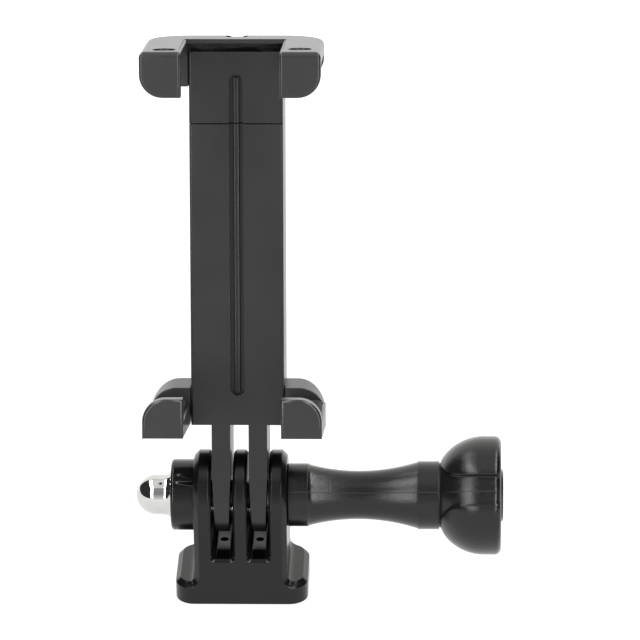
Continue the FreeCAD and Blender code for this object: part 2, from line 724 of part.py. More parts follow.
def make_spring(side):
    """Compression spring between the slider's foot and the stop."""
    low = slider_foot_low + slider_foot + spring_seat_gap + spring_wire_r
    high = stop_low - spring_seat_gap - spring_wire_r
    pitch = (high - low) / spring_turns
    path = Part.makeHelix(pitch, high - low, spring_mean_r)
    start = V(spring_mean_r, 0, 0)
    lead = V(0, spring_mean_r, pitch / (2 * math.pi))
    wire = Part.Wire(Part.makeCircle(spring_wire_r, start, lead))
    coil = Part.Wire(path.Edges).makePipeShell([wire], True, True)
    coil.translate(V(side * rod_at, rod_depth, low))
    return coil


def make_upper_jaw():
    low = seam_height + seam_gap / 2
    strip_low = top_jaw_top - plate_thick
    body = box(-column_half, column_half, face_back + fit_gap, column_rear, low,
               strip_low + plate_thick / 2)
    upright = along_edges(body, lambda p: near(p.y, column_rear)
                          and (near(abs(p.x), column_half) or near(p.z, strip_low + plate_thick / 2)))
    body = body.makeFillet(edge_ease * 2, upright)
    rail_face = face_back + slide_gap
    rail_back = rail_face + rail_thick
    room = box(-column_half + body_wall, column_half - body_wall, rail_back + fit_gap,
               column_rear - body_wall, low - 1, strip_low - body_wall)
    body = body.cut(room)
    parts = []
    hollows = []
    wing = jaw_wing(top_wall_height, top_wall_corner, 0)
    for side in (-1, 1):
        half = jaw_side(side, top_ear_height, wing)
        hollows.append(wing_hollow(side, plate_rear_corner, top_jaw_top - top_wall_height - 1,
                                   top_jaw_top - plate_thick))
        half.rotate(V(0, 0, 0), V(0, 1, 0), 180)
        half.translate(V(0, 0, top_jaw_top))
        parts.append(half)
        x0, x1 = sorted((side * rail_inner, side * (side_inner - slide_gap)))
        parts.append(box(x0, x1, rail_face, rail_back, slider_foot_low,
                         low + rail_root))
    strip = box(-jaw_half, jaw_half, -column_front, jaw_back, strip_low, top_jaw_top)
    under = box(-column_half - wing_gap, column_half + wing_gap, -column_front - 1,
                face_back + fit_gap, strip_low - 1, top_jaw_top - strip_lip)
    parts.append(strip.cut(under))
    foot = box(-side_inner + slide_gap, side_inner - slide_gap, rail_face, back_inner - slide_gap,
               slider_foot_low, slider_foot_low + slider_foot)
    parts.append(foot)
    jaw = body.fuse(parts).removeSplitter()
    rear_corner = corner_trim(plate_rear_corner, top_jaw_top - top_wall_height - 1,
                              top_jaw_top + 1)
    jaw = jaw.cut(rear_corner)
    rim = along_edges(jaw, lambda p: near(p.z, top_jaw_top)
                      and (near(p.y, -jaw_reach) or near(abs(p.x), jaw_half)
                           or near(p.y, jaw_back) or on_corner(p, plate_rear_corner)))
    jaw = jaw.makeFillet(jaw_ease, rim)
    jaw = ease_front(jaw, top_jaw_top - top_ear_height, top_jaw_top - jaw_ease)
    dimples = [rod(dimple_r, dimple_depth + 1, V(x, -y, top_jaw_top - dimple_depth), V(0, 0, 1))
               for x, y in dimple_places]
    holes = [rod(rod_r + rod_clearance, slider_foot + 2, V(x, rod_depth, slider_foot_low - 1),
                 V(0, 0, 1)) for x in (-rod_at, rod_at)]
    return jaw.cut(hollows + dimples + holes).removeSplitter()


def on_corner(p, r):
    """Whether a point lies on the round of one of a jaw's rear corners in plan."""
    return near(math.hypot(abs(p.x) - jaw_half + r, p.y - jaw_back + r), r)


def corner_trim(r, low, high):
    """Cutters that round a jaw's two rear corners in plan."""
    cutters = []
    for side in (-1, 1):
        x0, x1 = sorted((side * (jaw_half - r), side * (jaw_half + 1)))
        block = box(x0, x1, jaw_back - r, jaw_back + 1, low, high)
        keep = rod(r, high - low, V(side * (jaw_half - r), jaw_back - r, low), V(0, 0, 1))
        cutters.append(block.cut(keep))
    return cutters


def make_upper_cover():
    low = seam_height + seam_gap / 2
    plate = panel(low, column_top)
    brow = along_edges(plate, lambda p: near(p.y, -column_front) and near(p.z, column_top))
    plate = plate.makeFillet(cover_ease, brow)
    plate = plate.cut(groove_cut(groove_low, groove_high))
    beads = bead(low, groove_high - bead_half)
    notches = [box(x - notch_half, x + notch_half, -column_front + notch_depth, face_back + 1,
                   column_top - notch_depth, column_top + 1) for x in (-notch_at, notch_at)]
    return plate.fuse(beads).cut(notches).removeSplitter()


def make_pad(side, upper):
    """Rubber pad on one arm's inner face."""
    x0 = jaw_inner + pad_margin
    x1 = jaw_half - pad_margin
    y0 = -jaw_reach + ear_thick + pad_margin
    y1 = -column_front + wall_setback - pad_margin
    half_x = (x1 - x0) / 2
    half_y = (y1 - y0) / 2
    pad = Part.Face(rounded_outline(half_x, half_y, pad_corner, 0)).extrude(V(0, 0, pad_thick))
    height = top_jaw_top - plate_thick - pad_thick if upper else low_jaw_bottom + plate_thick
    pad.translate(V(side * (x0 + x1) / 2, (y0 + y1) / 2, height))
    return pad


def leaned(shape):
    """Moves a piece of the clip from its own upright frame to its place on the hinge."""
    shape = shape.copy()
    shape.rotate(V(0, 0, 0), V(1, 0, 0), -lean_deg)
    shape.translate(V(column_shift, 0, hinge_height))
    return shape


def all_pieces():
    pieces = {
        "base_body": make_base_body(),
        "tripod_insert": make_tripod_insert(),
        "cap_nut": make_cap_nut(),
        "clamp_bolt": make_clamp_bolt(),
        "thumb_knob": make_thumb_knob(),
        "knob_cover": make_knob_cover(),
    }
    clip = {
        "front_housing": make_front_housing(),
        "rear_housing": make_rear_housing(),
        "housing_screws": make_housing_screws(),
        "upper_jaw": make_upper_jaw(),
        "upper_cover": make_upper_cover(),
    }
    for name, side in (("left", -1), ("right", 1)):
        clip["guide_rod_" + name] = make_guide_rod(side)
        clip["spring_" + name] = make_spring(side)
        clip["lower_pad_" + name] = make_pad(side, False)
        clip["upper_pad_" + name] = make_pad(side, True)
    for name, shape in clip.items():
        pieces[name] = leaned(shape)
    return pieces


os.makedirs("parts", exist_ok=True)
for name, shape in all_pieces().items():
    shape.exportStep("parts/" + name + ".step")
    box_size = shape.BoundBox
    print(f"{name}: {len(shape.Solids)} solid(s), valid {shape.isValid()}, {shape.Volume:.1f} mm3,"
          f" {box_size.XLength:.2f} x {box_size.YLength:.2f} x {box_size.ZLength:.2f}")
print(f"slide travel: {travel:.2f} mm")
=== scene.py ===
import bpy
import bmesh
import json
import math
from mathutils import Matrix, Vector
from mathutils.bvhtree import BVHTree


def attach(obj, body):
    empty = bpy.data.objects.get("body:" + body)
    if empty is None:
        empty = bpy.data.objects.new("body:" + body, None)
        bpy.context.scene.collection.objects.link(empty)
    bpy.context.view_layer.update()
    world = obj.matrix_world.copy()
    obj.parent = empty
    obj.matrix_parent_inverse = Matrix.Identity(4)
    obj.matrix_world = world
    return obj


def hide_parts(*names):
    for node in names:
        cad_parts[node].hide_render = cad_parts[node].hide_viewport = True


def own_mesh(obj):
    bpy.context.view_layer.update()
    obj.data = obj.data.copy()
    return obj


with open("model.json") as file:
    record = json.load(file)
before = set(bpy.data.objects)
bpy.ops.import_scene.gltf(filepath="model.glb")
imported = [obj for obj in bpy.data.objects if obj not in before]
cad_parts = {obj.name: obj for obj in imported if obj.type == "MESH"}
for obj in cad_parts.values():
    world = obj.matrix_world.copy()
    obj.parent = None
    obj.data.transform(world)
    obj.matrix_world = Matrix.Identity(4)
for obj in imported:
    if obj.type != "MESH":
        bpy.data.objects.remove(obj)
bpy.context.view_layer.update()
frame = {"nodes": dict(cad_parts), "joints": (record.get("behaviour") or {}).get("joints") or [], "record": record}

mm = 0.001

joints = {joint["name"]: joint for joint in frame["joints"]}
screwHeight = round(joints["screw_turn"]["pos_m"][2] / mm, 3)                  # the screw runs along X
clipLean = round(math.degrees(math.asin(joints["jaw_slide"]["axis"][1])), 3)   # back from upright
clipShift = -0.25        # the clip sits a little left of the middle, mm
clipPlace = (Matrix.Translation((clipShift * mm, 0, screwHeight * mm))
             @ Matrix.Rotation(math.radians(-clipLean), 4, "X"))


# Nodes: a call makes one, sets its values and joins its inputs

def fill(tree, node, inputs):
    for label, value in inputs.items():
        if isinstance(value, bpy.types.NodeSocket):
            tree.links.new(value, node.inputs[label])
        else:
            node.inputs[label].default_value = value


def addNode(tree, kind, inputs, **settings):
    node = tree.nodes.new(kind)
    for label, value in settings.items():            # first, because they decide which inputs it has
        setattr(node, label, value)
    fill(tree, node, inputs)
    return node


def counted(tree, operation, *values):
    return addNode(tree, "ShaderNodeMath", dict(enumerate(values)), operation=operation).outputs[0]


def remapped(tree, value, source, target=(0.0, 1.0), kind="LINEAR"):
    return addNode(tree, "ShaderNodeMapRange", {
        "Value": value, "From Min": source[0], "From Max": source[1],
        "To Min": target[0], "To Max": target[1]}, interpolation_type=kind).outputs["Result"]


def mixed(tree, factor, a, b, kind="MIX"):
    return addNode(tree, "ShaderNodeMix", {"Factor": factor, "A": a, "B": b}, data_type="RGBA",
                   blend_type=kind).outputs["Result"]


def combined(tree, x=0.0, y=0.0, z=0.0):
    return addNode(tree, "ShaderNodeCombineXYZ", {"X": x, "Y": y, "Z": z}).outputs[0]


def coordinates(tree, kind="Object"):
    return tree.nodes.new("ShaderNodeTexCoord").outputs[kind]


# Camera, floor and lights

view = {
    "target": (13.69, 0.0, 50.09),   # what the middle of the picture looks at, mm
    "distance": 800.0,
    "azimuth": 1.99,                 # degrees towards +X
    "elevation": 26.41,
    "roll": -0.77,
    "lens": 271.1,
    "sensor": 36.0,
}

studio = {
    "floorHalf": 6.0,
    "floorColour": (0.12, 0.12, 0.12, 1),
    "floorRoughness": 0.9,
    "floorSpecular": 0.2,
    "floorGlow": (0.92, 1.3),        # lit paper, in front of the part and behind it
    "glowRises": (0.02, 0.35),       # metres behind the middle between the two
    "roomColour": (0.045, 0.045, 0.046, 1),  # dim room in front of the paper
    "paperColour": (1.24, 1.22, 1.19, 1),    # white sweep that curves up behind
    "paperStarts": (0.54, 0.60),     # how far back of straight up the paper takes over
    "paperNarrows": 0.3,
    "screenHalf": (0.36, 0.44),      # lit screens between the strips: half width, soft edge
    "screenFoot": (-0.01, 0.0),      # they end at the floor's level
    "screens": [                     # elevation in degrees, glow
        (0, 0.95), (12, 0.70), (30, 0.34), (59, 0.42), (60, 0.10), (61.5, 0.10), (63, 0.95),
        (90, 1.05), (118, 1.0), (126, 0.6), (128, 0.0),
    ],
    "boxes": [                       # name, share to the side, elevation, width, height, watts
        ("lowLeftBox", -0.45, 31.5, 0.20, 0.90, 6.0),
        ("lowRightBox", 0.45, 31.5, 0.20, 0.90, 6.0),
        ("highLeftBox", -0.45, 94.2, 0.20, 1.07, 7.0),
        ("highRightBox", 0.45, 94.2, 0.20, 1.07, 7.0),
    ],
    "boxDistance": 1.0,
}


def linked(name, data):
    item = bpy.data.objects.new(name, data)
    bpy.context.collection.objects.link(item)
    return item


def addCamera():
    azimuth = math.radians(view["azimuth"])
    elevation = math.radians(view["elevation"])
    roll = math.radians(view["roll"])
    forward = Vector((-math.sin(azimuth) * math.cos(elevation),
                      math.cos(azimuth) * math.cos(elevation), -math.sin(elevation)))
    side = Vector((math.cos(azimuth), math.sin(azimuth), 0))
    up = side.cross(forward)
    right = side * math.cos(roll) + up * math.sin(roll)
    upright = up * math.cos(roll) - side * math.sin(roll)
    place = Vector(view["target"]) * mm - forward * view["distance"] * mm
    lens = bpy.data.cameras.new("photoCamera")
    lens.sensor_width = view["sensor"]
    lens.lens = view["lens"]
    lens.clip_start = 0.01
    lens.clip_end = 20
    camera = linked("photoCamera", lens)
    camera.matrix_world = (Matrix.Translation(place)
                           @ Matrix((right, upright, -forward)).transposed().to_4x4())
    bpy.context.scene.camera = camera


def addFloor():
    material, tree, shader = startMaterial("paleFloor")
    place = addNode(tree, "ShaderNodeSeparateXYZ", {0: coordinates(tree)})
    glow = remapped(tree, place.outputs["Y"], studio["glowRises"], studio["floorGlow"], "SMOOTHSTEP")
    fill(tree, shader, {"Base Color": studio["floorColour"], "Roughness": studio["floorRoughness"],
                        "Specular IOR Level": studio["floorSpecular"],
                        "Emission Color": (1, 1, 1, 1), "Emission Strength": glow})
    half = studio["floorHalf"]
    mesh = bpy.data.meshes.new("floor")
    mesh.from_pydata([(-half, -half, 0), (half, -half, 0), (half, half, 0), (-half, half, 0)],
                     [], [(0, 1, 2, 3)])
    mesh.materials.append(material)
    floor = linked("floor", mesh)


def addSoftbox(name, side, elevation, width, height, watts):
    rise = math.radians(elevation)
    reach = math.sqrt(1 - side ** 2)
    place = Vector((side, -reach * math.cos(rise), reach * math.sin(rise))) * studio["boxDistance"]
    lamp = bpy.data.lights.new(name, "AREA")
    lamp.shape = "RECTANGLE"
    lamp.size, lamp.size_y = width, height
    lamp.energy = watts
    light = linked(name, lamp)
    light.location = place
    back = place.normalized()
    along = Vector((0, math.sin(rise), math.cos(rise)))              # long side runs up over the part
    light.rotation_euler = Matrix((along.cross(back), along, back)).transposed().to_euler()


def addRoom():
    world = bpy.data.worlds.new("studio")
    bpy.context.scene.world = world
    world.use_nodes = True
    tree = world.node_tree
    way = addNode(tree, "ShaderNodeSeparateXYZ", {0: coordinates(tree, "Generated")}).outputs
    aside = counted(tree, "ABSOLUTE", way["X"])
    bend = counted(tree, "MULTIPLY", aside, aside)                   # the sweep is narrower than the room
    inward = counted(tree, "MULTIPLY_ADD", bend, -studio["paperNarrows"], way["Y"])
    behind = remapped(tree, inward, studio["paperStarts"], kind="SMOOTHSTEP")
    seen = tree.nodes.new("ShaderNodeLightPath").outputs["Is Camera Ray"]
    paper = counted(tree, "MAXIMUM", behind, seen)                   # the view itself sees only paper
    rise = counted(tree, "ARCTAN2", way["Z"], counted(tree, "MULTIPLY", way["Y"], -1.0))
    screens = addNode(tree, "ShaderNodeValToRGB", {"Fac": counted(tree, "DIVIDE", rise, math.pi)})
    stops = screens.color_ramp.elements
    while len(stops) < len(studio["screens"]):
        stops.new(0.5)
    for stop, (elevation, glow) in zip(stops, studio["screens"]):
        stop.position = elevation / 180
        stop.color = (glow, glow, glow, 1)
    beside = remapped(tree, aside, studio["screenHalf"], kind="SMOOTHSTEP")
    above = remapped(tree, way["Z"], studio["screenFoot"], kind="SMOOTHSTEP")
    lit = counted(tree, "MULTIPLY", above, counted(tree, "SUBTRACT", 1.0, beside))
    room = mixed(tree, lit, studio["roomColour"], screens.outputs["Color"])
    tone = mixed(tree, paper, room, studio["paperColour"])
    fill(tree, tree.nodes["Background"], {"Color": tone})


def addStudio():
    addRoom()
    for softbox in studio["boxes"]:
        addSoftbox(*softbox)
    bpy.context.scene.view_settings.view_transform = "Standard"
    addFloor()


# Materials, all on Object coordinates

satin = {"colour": (0.0035, 0.0035, 0.0036), "spread": 0.10, "roughness": 0.22, "specular": 0.33,
         "grain": 0.00018, "grainHeight": 0.08, "specks": 0.25, "seam": None}
# The panels' black is a darker copy and the clip's a lighter one, partly their own tone: painted shade on the
# column under the jaws, painted light on the jaws' ears
panelShadedSatin = dict(satin, colour=(0.0095, 0.0095, 0.0097), roughness=0.30, specular=0.42,
                  grainHeight=0.15)
clipLitSatin = dict(satin, colour=(0.0115, 0.0115, 0.0117), roughness=0.30, specular=0.5,
                 grainHeight=0.15)
gloss = dict(satin, colour=(0.0060, 0.0060, 0.0061), roughness=0.20, specular=0.36, grain=0.00026,
             grainHeight=1.0,
             # parting line: its bump is a real groove, its darker shade is painted shade
             seam={"turn": 33.0, "half": 0.00003, "edge": 0.00005, "height": 0.6,
                   "depth": 0.00006, "shade": (0.5, 0.5, 0.5, 1)})
rubber = dict(satin, colour=(0.012, 0.012, 0.012), roughness=0.75, grainHeight=0.2, specks=0.1)
moulding = {"cloud": 0.009, "roughness": (0.96, 1.04),               # slow unevenness
            "grainDetail": 2.0, "grainBreak": 0.6, "grainDepth": 0.00004,
            "speckScale": 900.0, "speckEdge": (0.03, 0.09), "speckColour": (0.07, 0.07, 0.068, 1)}

chrome = {"colour": (0.60, 0.595, 0.58), "roughness": 0.05, "streak": (0.00012, 0.002, 0.002),
          "spread": 0.06}
brass = {"colour": (0.72, 0.50, 0.22), "roughness": 0.24, "streak": (0.002, 0.002, 0.00008),
         "spread": 0.14}
zinc = {"colour": (0.32, 0.32, 0.315), "roughness": 0.42, "streak": (0.00008, 0.002, 0.002),
        "spread": 0.12}
blackOxide = {"colour": (0.10, 0.10, 0.105), "roughness": 0.40, "streak": (0.0006, 0.0006, 0.0006),
              "spread": 0.2}
turning = {"cloud": 0.004, "roughness": (0.75, 1.3), "markHeight": 0.05, "markDepth": 0.00002}

noiseDetail = 3.0
noiseReach = (0.3, 0.7)                              # what a noise field mostly stays between


def startMaterial(name):
    material = bpy.data.materials.new(name)
    material.use_nodes = True
    return material, material.node_tree, material.node_tree.nodes["Principled BSDF"]


def noise(tree, source, size, detail=noiseDetail, roughness=0.5):
    return addNode(tree, "ShaderNodeTexNoise", {"Scale": 1 / size, "Detail": detail,
                                                "Roughness": roughness, "Vector": source}).outputs["Fac"]


def bumped(tree, height, strength, depth):
    return addNode(tree, "ShaderNodeBump", {"Strength": strength, "Distance": depth, "Height": height})


def clouded(tree, clouds, look):
    tones = [(*[min(1.0, c * (1 + sign * look["spread"])) for c in look["colour"]], 1)
             for sign in (-1, 1)]
    return mixed(tree, remapped(tree, clouds, noiseReach), *tones)


def roughened(tree, field, look, shares):
    return remapped(tree, field, noiseReach, [look["roughness"] * share for share in shares])


def mouldedPlastic(name, look):
    m = moulding
    material, tree, shader = startMaterial(name)
    place = coordinates(tree)
    clouds = noise(tree, place, m["cloud"])
    grain = noise(tree, place, look["grain"], m["grainDetail"], m["grainBreak"])   # spark-eroded texture
    dust = addNode(tree, "ShaderNodeTexVoronoi", {"Scale": m["speckScale"], "Vector": place})
    speck = remapped(tree, dust.outputs["Distance"], m["speckEdge"], (look["specks"], 0.0))
    colour = mixed(tree, speck, clouded(tree, clouds, look), m["speckColour"])
    bump = bumped(tree, grain, look["grainHeight"], m["grainDepth"])
    if look["seam"]:
        line = seamLine(tree, place, look["seam"])
        # Painted shade: the colour is darkened along the parting line, whose groove is the bump below
        colour = mixed(tree, line, colour, look["seam"]["shade"], "MULTIPLY")
        groove = bumped(tree, line, look["seam"]["height"], look["seam"]["depth"])
        fill(tree, groove, {"Normal": bump.outputs["Normal"]})
        bump = groove
    fill(tree, shader, {"Base Color": colour, "Roughness": roughened(tree, clouds, look, m["roughness"]),
                        "Specular IOR Level": look["specular"], "Normal": bump.outputs["Normal"]})
    return material


def seamLine(tree, place, seam):                     # parting line of the mould's two halves, a bumped groove whose darker colour is painted shade
    turn = math.radians(seam["turn"])
    middle = addNode(tree, "ShaderNodeVectorMath", {0: place, 1: (0, 0, screwHeight * mm)},
                     operation="SUBTRACT")
    off = addNode(tree, "ShaderNodeVectorMath", {
        0: middle.outputs["Vector"], 1: (0, math.sin(turn), math.cos(turn))}, operation="DOT_PRODUCT")
    away = counted(tree, "ABSOLUTE", off.outputs["Value"])
    return remapped(tree, away, (seam["half"], seam["half"] + seam["edge"]), (1.0, 0.0))


def metal(name, look):
    material, tree, shader = startMaterial(name)
    place = coordinates(tree)
    stretch = addNode(tree, "ShaderNodeVectorMath", {0: place, 1: look["streak"]}, operation="DIVIDE")
    marks = noise(tree, stretch.outputs["Vector"], 1.0)              # turning marks run round the part
    clouds = noise(tree, place, turning["cloud"])
    bump = bumped(tree, marks, turning["markHeight"], turning["markDepth"])
    fill(tree, shader, {"Base Color": clouded(tree, clouds, look), "Metallic": 1.0,
                        "Roughness": roughened(tree, marks, look, turning["roughness"]),
                        "Normal": bump.outputs["Normal"]})
    return material


# Mesh helpers

easing = {
    "weld": 2e-6,                # metres, points as close as this are one
    "flatDegrees": 0.6,          # faces that meet at less are one
    "sharpDegrees": 28,          # edges that turn more are eased
    "pointedDegrees": 50,        # unless two of them meet at less than this
    "shortest": 0.6,             # or they are shorter, in widths of the ease
    "tries": 12,
    "stray": 0.5,                # a point this far off the surface, in widths, spoils its corner
    "crowd": 1.5,                # which then stays sharp this far round
}


def bodyOf(node):
    bodies = frame["record"]["behaviour"]["bodies"]
    return next(body for body, nodes in bodies.items() if node in nodes)


def paint(mesh, material):
    mesh.materials.clear()
    mesh.materials.append(material)


def newPiece(name, mesh, material):
    paint(mesh, material)
    return linked(name, mesh)


def finishPiece(piece, node):
    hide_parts(node)
    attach(piece, bodyOf(node))


def settle(piece):
    evaluated = piece.evaluated_get(bpy.context.evaluated_depsgraph_get())
    mesh = bpy.data.meshes.new_from_object(evaluated)
    piece.modifiers.clear()
    piece.data = mesh


def shade(piece, sharpDegrees):
    for face in piece.data.polygons:
        face.use_smooth = True
    piece.data.set_sharp_from_angle(angle=math.radians(sharpDegrees))
    weigh = piece.modifiers.new("weigh", "WEIGHTED_NORMAL")
    weigh.keep_sharp = True
    cut = piece.modifiers.new("cut", "TRIANGULATE")  # after the normals, which go by whole faces
    cut.min_vertices = 5
    cut.keep_custom_normals = True
    settle(piece)


def turnAt(point, edge, other):
    a = edge.other_vert(point).co - point.co
    b = other.other_vert(point).co - point.co
    return math.degrees(a.angle(b, 0.0))


def easeable(edges, width):
    sharp = {e for e in edges if len(e.link_faces) == 2 and e.is_convex
             and e.calc_face_angle() > math.radians(easing["sharpDegrees"])
             and e.calc_length() > width * easing["shortest"]}
    kept = set(sharp)
    for edge in sharp:
        for point in edge.verts:                     # no mitre at a pointed or a crowded corner
            others = [e for e in point.link_edges if e in sharp and e is not edge]
            if any(turnAt(point, edge, e) < easing["pointedDegrees"] for e in others):
                kept.discard(edge)
    return kept


def eased(shape, edges, width, segments):
    chosen = {e.index for e in edges}
    surface = BVHTree.FromBMesh(shape)
    for tries in range(easing["tries"]):             # corners too crowded to ease stay as they are
        trial = shape.copy()
        trial.edges.ensure_lookup_table()
        bmesh.ops.bevel(trial, geom=[trial.edges[i] for i in sorted(chosen)], offset=width,
                        offset_type="WIDTH", segments=segments, profile=0.5, affect="EDGES",
                        clamp_overlap=False)
        strays = [v for v in trial.verts
                  if surface.find_nearest(v.co)[3] > width * easing["stray"]]
        if not strays:
            return trial
        spots = [v.co.copy() for v in strays]
        for stray in strays:
            spots += [e.other_vert(stray).co.copy() for e in stray.link_edges]
        trial.free()
        before = len(chosen)
        for spot in spots:
            chosen -= {e.index for e in shape.edges if e.index in chosen
                       and min((v.co - spot).length for v in e.verts) < width * easing["crowd"]}
        if len(chosen) == before:
            break
    return shape.copy()


def dressed(node, name, material, ease, softer=None, softEase=0.0):
    shape = bmesh.new()                              # cleaned copy, its sharp edges eased
    shape.from_mesh(frame["nodes"][node].data)
    bmesh.ops.remove_doubles(shape, verts=shape.verts, dist=easing["weld"])
    bmesh.ops.dissolve_degenerate(shape, edges=shape.edges, dist=easing["weld"])
    bmesh.ops.dissolve_limit(shape, angle_limit=math.radians(easing["flatDegrees"]),
                             verts=shape.verts, edges=shape.edges)
    bmesh.ops.recalc_face_normals(shape, faces=shape.faces)
    rounds = [(lambda edge: True, ease * mm, 2)]     # which edges, how wide, segments
    if softer:
        rounds.insert(0, (softer, softEase * mm, 4))
    for rule, width, segments in rounds:
        shape.edges.index_update()
        chosen = [e for e in easeable(shape.edges, width) if rule(e)]
        done = eased(shape, chosen, width, segments)
        shape.free()
        shape = done
    bmesh.ops.dissolve_degenerate(shape, edges=shape.edges, dist=easing["weld"])
    mesh = bpy.data.meshes.new(name)
    shape.to_mesh(mesh)
    shape.free()
    piece = newPiece(name, mesh, material)
    shade(piece, sharpDegrees=40)
    finishPiece(piece, node)
    print("eased:", name, len(chosen), "edges")
    return piece


def ringTube(name, rings, closed):
    shape = bmesh.new()                              # quads over rings with as many points each
    grid = [[shape.verts.new(p) for p in ring] for ring in rings]
    after = grid[1:] + grid[:1] if closed else grid[1:]
    for a, b in zip(grid, after):
        for i in range(len(a)):
            j = (i + 1) % len(a)
            shape.faces.new((a[i], a[j], b[j], b[i]))
    if not closed:
        shape.faces.new(grid[0])
        shape.faces.new(grid[-1])
    bmesh.ops.recalc_face_normals(shape, faces=shape.faces)
    mesh = bpy.data.meshes.new(name)
    shape.to_mesh(mesh)
    shape.free()
    return mesh


def bent(a, corner, b, steps):                       # curve from a to b, pulled by the corner
    shares = [i / steps for i in range(steps + 1)]
    return [a * (1 - t) ** 2 + corner * 2 * t * (1 - t) + b * t ** 2 for t in shares]


def rounded(path, radii, most=0.45):                 # (x, r) points, a radius for each inner corner
    out = [path[0]]
    for before, corner, after, radius in zip(path, path[1:], path[2:], radii):
        if radius <= 0:
            out.append(corner)
            continue
        a, c, b = Vector(before), Vector(corner), Vector(after)
        reach = min(radius, (a - c).length * most, (b - c).length * most)
        out += [tuple(p) for p in bent(c + (a - c).normalized() * reach, c,
                                       c + (b - c).normalized() * reach, 3)]
    return out + [path[-1]]


# Rings round the screw's axis, x and r in mm

def turnsOf(count, first=0.0, way=1):
    return [first + way * 2 * math.pi * i / count for i in range(count)]


def placed(x, r, turn):
    return (x * mm, r * math.cos(turn) * mm, (screwHeight + r * math.sin(turn)) * mm)


def roundRing(x, r, turns):
    return [placed(x, r, turn) for turn in turns]


def hexRing(x, flats, turns, limit=math.inf):        # its corners no further out than the limit
    ring = []
    for turn in turns:
        within = (turn - math.pi / 2) % (math.pi / 3) - math.pi / 6
        ring.append(placed(x, min(flats / 2 / math.cos(within), limit), turn))
    return ring


# Thumb knob: collar, waist, barrel and the three-lobed grip

knob = {
    "start": 7.85, "faceR": 4.6,
    "collarEnd": 11.35, "collarR": 5.33, "collarRound": 0.35,
    "lip": 0.12, "lipDrop": 0.14,
    "waistEnd": 29.85, "waistR": 4.08, "ridgeR": 5.63, "ridgeEase": (0.1, 0.04), "waistSteps": 26,
    "barrelEnd": 33.45, "barrelR": 5.75, "barrelRounds": (0, 0.05, 0.14, 0.06), "step": 0.02,
    "neckEnd": 33.65, "neckR": 5.45,
    "end": 43.85,
    "lobes": 3, "lobeRoot": 5.82, "lobeR": 10.0, "lobeBelly": 7.35, "lobeSteps": 40,
    "coreRoot": 5.5, "coreR": 8.5, "coreBelly": 7.1,
    "gapHalf": 2.5, "gapFlare": 2.6, "gapFlareLength": 3.6, "flareArc": 0.98,
    "gapTurn": 34.0,                 # first gap, from -Y towards +Z
    "gapMost": 0.93,                 # share of its third that a gap may take
    "creaseRound": 0.8, "lobeRound": 0.75, "roundMost": 0.42,
    "valleyPoints": 9, "lobePoints": 22,
    "rimRound": 1.1, "rimSteps": 6,
    "seatStart": 6.0, "seatR": 4.55, "seatRound": 0.02, "coverRise": 0.38, "coverDepth": 0.45,
    "boreR": 2.53, "headFlats": 8.1, "headLength": 3.4,
}
headTop = knob["end"] + knob["coverRise"] - knob["coverDepth"]       # of the bolt, under the cover
headLow = headTop - knob["headLength"]


def bowlRadius(x, root, full, belly):
    s = x - knob["neckEnd"]
    rise = full - root
    arc = (belly ** 2 + rise ** 2) / (2 * rise)
    if s >= belly:
        return full
    return full - arc + math.sqrt(arc ** 2 - (belly - s) ** 2)


def gapWidth(x):
    k = knob
    s = (x - k["neckEnd"]) / k["gapFlareLength"]
    if s >= 1:
        return k["gapHalf"]
    closed = math.sqrt(max(0.0, s * (2 - s))) * k["flareArc"] + s * (1 - k["flareArc"])
    return k["gapHalf"] + k["gapFlare"] * (1 - closed)


def across(r, y):                                    # how far out a circle is at the height y
    return math.sqrt(r ** 2 - y ** 2)


def lobedRing(x, core, lobe, half):
    k = knob
    sector = math.pi / k["lobes"]
    half = min(half, core * math.sin(sector * k["gapMost"]))
    height = across(lobe, half) - across(core, half)
    foot = min(k["creaseRound"], height * k["roundMost"])
    crown = min(k["lobeRound"], height * k["roundMost"], half)
    low = Vector((across(core, half), half))
    top = Vector((across(lobe, half), half))
    footStart = Vector((across(core, half - foot), half - foot))
    crownEnd = Vector((across(lobe, half + crown), half + crown))
    wall = (bent(footStart, low, low + Vector((foot, 0)), 3)
            + bent(top - Vector((crown, 0)), top, crownEnd, 3))
    valleyTurn = math.atan2(footStart.y, footStart.x)
    lobeTurn = math.atan2(crownEnd.y, crownEnd.x)
    ring = []
    for gap in range(k["lobes"]):
        middle = math.radians(180 - k["gapTurn"]) - gap * 2 * sector
        for i in range(1, k["valleyPoints"] + 1):
            ring.append((core, middle - valleyTurn * (2 * i / (k["valleyPoints"] + 1) - 1)))
        for p in wall:
            ring.append((p.length, middle - math.atan2(p.y, p.x)))
        for i in range(1, k["lobePoints"] + 1):
            turn = lobeTurn + (2 * sector - 2 * lobeTurn) * i / (k["lobePoints"] + 1)
            ring.append((lobe, middle - turn))
        for p in reversed(wall):
            ring.append((p.length, middle - 2 * sector + math.atan2(p.y, p.x)))
    return [placed(x, r, turn) for r, turn in ring]


def neckProfile():
    k = knob
    lipEnd, lipR = k["collarEnd"] + k["lip"], k["collarR"] - k["lipDrop"]
    profile = rounded([(k["start"], k["faceR"]), (k["start"], k["collarR"]),
                       (k["collarEnd"], k["collarR"]), (lipEnd, lipR)], [k["collarRound"], k["lip"]])
    for i in range(1, k["waistSteps"]):                              # the waist, through three radii
        s = i / k["waistSteps"]
        r = lipR * (1 - s) * (1 - 2 * s) + k["waistR"] * 4 * s * (1 - s) + k["ridgeR"] * s * (2 * s - 1)
        profile.append((k["collarEnd"] + (k["waistEnd"] - k["collarEnd"]) * s, r))
    back, drop = k["ridgeEase"]
    return profile + rounded([
        (k["waistEnd"] - back, k["ridgeR"] - drop), (k["waistEnd"], k["ridgeR"]),
        (k["waistEnd"] + k["step"], k["barrelR"]), (k["barrelEnd"], k["barrelR"]),
        (k["barrelEnd"] + k["step"], k["neckR"]), (k["neckEnd"] - k["step"], k["neckR"])],
        k["barrelRounds"])


